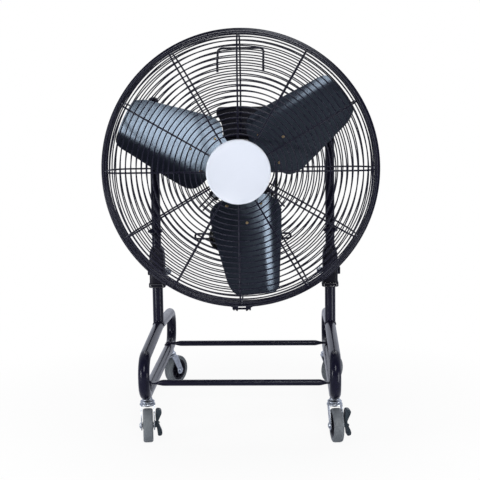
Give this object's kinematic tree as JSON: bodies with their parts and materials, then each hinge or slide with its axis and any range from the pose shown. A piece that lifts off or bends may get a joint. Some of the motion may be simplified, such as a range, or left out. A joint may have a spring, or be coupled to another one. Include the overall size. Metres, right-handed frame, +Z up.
{
  "type": "mobile cage fan",
  "caption": "Wire-cage floor fan whose guarded impeller hangs on two telescoping masts above a tube cart with swivel casters.",
  "frame": {"origin": "on the floor, under the middle of the cart", "axes": "+Z up, +X to the right of someone who faces the fan's front, -Y is the way the fan blows"},
  "size_m": [0.64, 0.5924, 0.914],
  "materials": {
    "black_paint": "gloss",
    "black_wire": "gloss",
    "black_plastic": "satin",
    "zinc": "satin",
    "grey_rubber": "matte",
    "blade_paint": "satin",
    "badge_white": "gloss",
    "pedal_plastic": "satin",
    "cord_black": "matte"
  },
  "bodies": {
    "cart": {"side_frame_left": "black_paint", "upright_left": "black_paint", "side_frame_right": "black_paint", "upright_right": "black_paint", "cross_bar_front": "black_paint", "cross_bar_rear": "black_paint", "collar_left": "black_plastic", "clamp_bolt_left": "zinc", "collar_right": "black_plastic", "clamp_bolt_right": "zinc"},
    "head": {"mast_left": "black_paint", "mast_right": "black_paint", "mast_saddle_lower_left": "black_plastic", "mast_u_bolt_lower_left": "zinc", "mast_saddle_upper_left": "black_plastic", "mast_u_bolt_upper_left": "zinc", "mast_saddle_lower_right": "black_plastic", "mast_u_bolt_lower_right": "zinc", "mast_saddle_upper_right": "black_plastic", "mast_u_bolt_upper_right": "zinc", "front_guard": "black_wire", "rear_guard": "black_wire", "rim_band": "black_paint", "band_bolt": "zinc", "badge_disc": "badge_white", "motor_body": "black_paint", "motor_end_shield": "black_paint", "carry_handle": "black_wire", "cord_hook_left": "black_wire", "cord_hook_right": "black_wire", "switch_box": "black_plastic", "cord_lead": "cord_black", "cord_hank": "cord_black", "cord_tail": "cord_black", "cord_plug": "black_plastic"},
    "impeller": {"blade_1": "blade_paint", "blade_2": "blade_paint", "blade_3": "blade_paint", "hub_spider": "blade_paint", "shaft": "zinc"},
    "knob": {"switch_knob": "black_plastic"},
    "caster_front_left": {"fork_front_left": "zinc", "axle_bolt_front_left": "zinc"},
    "wheel_front_left": {"tyre_front_left": "grey_rubber", "wheel_hub_front_left": "black_plastic"},
    "pedal_front_left": {"brake_pedal_front_left": "pedal_plastic"},
    "caster_front_right": {"fork_front_right": "zinc", "axle_bolt_front_right": "zinc"},
    "wheel_front_right": {"tyre_front_right": "grey_rubber", "wheel_hub_front_right": "black_plastic"},
    "pedal_front_right": {"brake_pedal_front_right": "pedal_plastic"},
    "caster_rear_left": {"fork_rear_left": "zinc", "axle_bolt_rear_left": "zinc"},
    "wheel_rear_left": {"tyre_rear_left": "grey_rubber", "wheel_hub_rear_left": "black_plastic"},
    "caster_rear_right": {"fork_rear_right": "zinc", "axle_bolt_rear_right": "zinc"},
    "wheel_rear_right": {"tyre_rear_right": "grey_rubber", "wheel_hub_rear_right": "black_plastic"}
  },
  "joints": [
    {"name": "head_height", "type": "slide", "parent": "cart", "child": "head", "axis": [0, 0, 1], "range_m": [0, 0.1]},
    {"name": "impeller_spin", "type": "hinge", "parent": "head", "child": "impeller", "pos_m": [0, -0.09965, 0.594], "axis": [0, -1, 0], "continuous": true},
    {"name": "knob_turn", "type": "hinge", "parent": "head", "child": "knob", "pos_m": [-0.017, 0.02, 0.704], "axis": [0, 1, 0], "range_deg": [0, 135]},
    {"name": "swivel_front_left", "type": "hinge", "parent": "cart", "child": "caster_front_left", "pos_m": [-0.209, -0.235, 0.08], "axis": [0, 0, 1], "continuous": true},
    {"name": "wheel_spin_front_left", "type": "hinge", "parent": "caster_front_left", "child": "wheel_front_left", "pos_m": [-0.20566, -0.25877, 0.0375], "axis": [0.9903, 0.1392, 0], "continuous": true},
    {"name": "brake_rock_front_left", "type": "hinge", "parent": "caster_front_left", "child": "pedal_front_left", "pos_m": [-0.18288, -0.25556, 0.04], "axis": [-0.1392, 0.9903, 0], "range_deg": [0, 10]},
    {"name": "swivel_front_right", "type": "hinge", "parent": "cart", "child": "caster_front_right", "pos_m": [0.209, -0.235, 0.08], "axis": [0, 0, 1], "continuous": true},
    {"name": "wheel_spin_front_right", "type": "hinge", "parent": "caster_front_right", "child": "wheel_front_right", "pos_m": [0.21234, -0.25877, 0.0375], "axis": [0.9903, 0.1392, 0], "continuous": true},
    {"name": "brake_rock_front_right", "type": "hinge", "parent": "caster_front_right", "child": "pedal_front_right", "pos_m": [0.23512, -0.25556, 0.04], "axis": [-0.1392, 0.9903, 0], "range_deg": [0, 10]},
    {"name": "swivel_rear_left", "type": "hinge", "parent": "cart", "child": "caster_rear_left", "pos_m": [-0.209, 0.235, 0.08], "axis": [0, 0, 1], "continuous": true},
    {"name": "wheel_spin_rear_left", "type": "hinge", "parent": "caster_rear_left", "child": "wheel_rear_left", "pos_m": [-0.19593, 0.25513, 0.0375], "axis": [-0.8387, 0.5446, 0], "continuous": true},
    {"name": "swivel_rear_right", "type": "hinge", "parent": "cart", "child": "caster_rear_right", "pos_m": [0.209, 0.235, 0.08], "axis": [0, 0, 1], "continuous": true},
    {"name": "wheel_spin_rear_right", "type": "hinge", "parent": "caster_rear_right", "child": "wheel_rear_right", "pos_m": [0.22344, 0.25417, 0.0375], "axis": [-0.7986, 0.6018, 0], "continuous": true}
  ]
}
